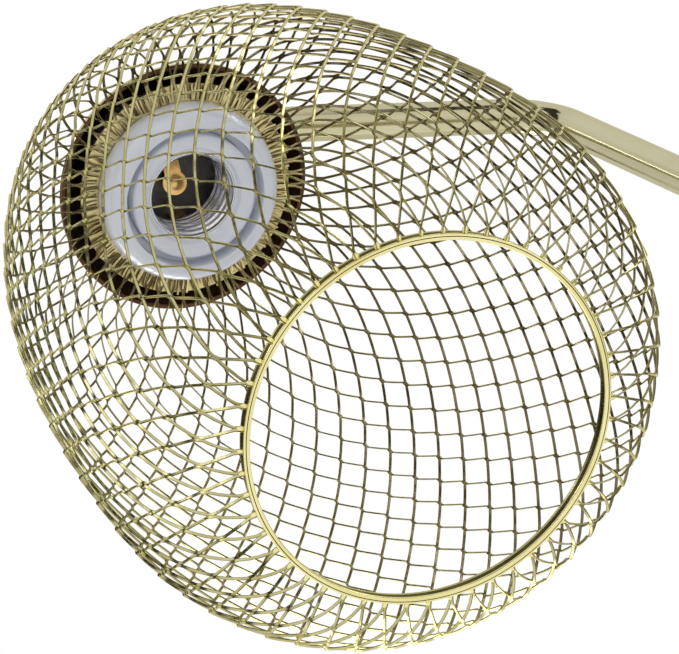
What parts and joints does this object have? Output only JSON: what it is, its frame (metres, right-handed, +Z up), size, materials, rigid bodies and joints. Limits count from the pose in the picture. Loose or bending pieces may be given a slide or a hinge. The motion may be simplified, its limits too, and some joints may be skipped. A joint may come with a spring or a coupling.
{
  "type": "table lamp",
  "caption": "Table lamp with a bulb-shaped expanded-metal shade under a bent tube stem on a round weighted base.",
  "frame": {"origin": "middle of the base's underside, on the table", "axes": "+Z up; the arm runs along -X from the post to the shade, and the cable leaves along +X"},
  "size_m": [0.4111, 0.18, 0.434],
  "materials": {
    "satin_gold": "satin pale gold",
    "mesh_gold": "glossy pale gold",
    "raw_gold": "dull gold",
    "white_plastic": "glossy white",
    "dark_insert": "matte moulded",
    "zinc_steel": "zinc plated",
    "nickel_shell": "nickel plated",
    "contact_brass": "bright brass",
    "iron": "as cast",
    "black_rubber": "matte",
    "brown_core": "matte",
    "blue_core": "matte"
  },
  "bodies": {
    "lamp": {"base_pad": "black_rubber", "base_cover": "satin_gold", "base_weight": "iron", "cable_grommet": "black_rubber", "terminal_block": "white_plastic", "terminal_block_screws": "zinc_steel", "stem_boss": "satin_gold", "boss_grub_screw": "zinc_steel", "base_washer": "zinc_steel", "base_nut": "zinc_steel", "stem_tube": "satin_gold", "arm_hub": "satin_gold", "hub_grub_screw": "zinc_steel", "nipple": "zinc_steel", "nipple_nut": "zinc_steel", "cup": "satin_gold", "live_lead": "brown_core", "neutral_lead": "blue_core", "lampholder_cap": "white_plastic", "terminal_posts": "contact_brass", "terminal_screws": "zinc_steel", "contact_insert": "dark_insert", "screw_shell": "nickel_shell", "side_contact": "contact_brass", "tongue_rivet": "contact_brass", "lampholder_sleeve": "white_plastic", "backing_ring": "white_plastic"},
    "shade": {"fitter_plate": "raw_gold", "shade_net": "mesh_gold", "opening_ring": "mesh_gold"},
    "ring": {"shade_ring": "white_plastic"},
    "tongue": {"contact_tongue": "contact_brass"}
  },
  "joints": [
    {"name": "shade_drop", "type": "slide", "parent": "lamp", "child": "shade", "axis": [0, 0, -1], "range_m": [0, 0.005]},
    {"name": "ring_turn", "type": "hinge", "parent": "shade", "child": "ring", "pos_m": [-0.23751, 0, 0.3561], "axis": [0, 0, -1], "range_deg": [0, 720]},
    {"name": "tongue_flex", "type": "hinge", "parent": "lamp", "child": "tongue", "pos_m": [-0.23883, -0.00749, 0.37755], "axis": [0.9848, -0.1736, 0], "range_deg": [0, 7], "stiffness_Nm_per_rad": 0.3}
  ]
}
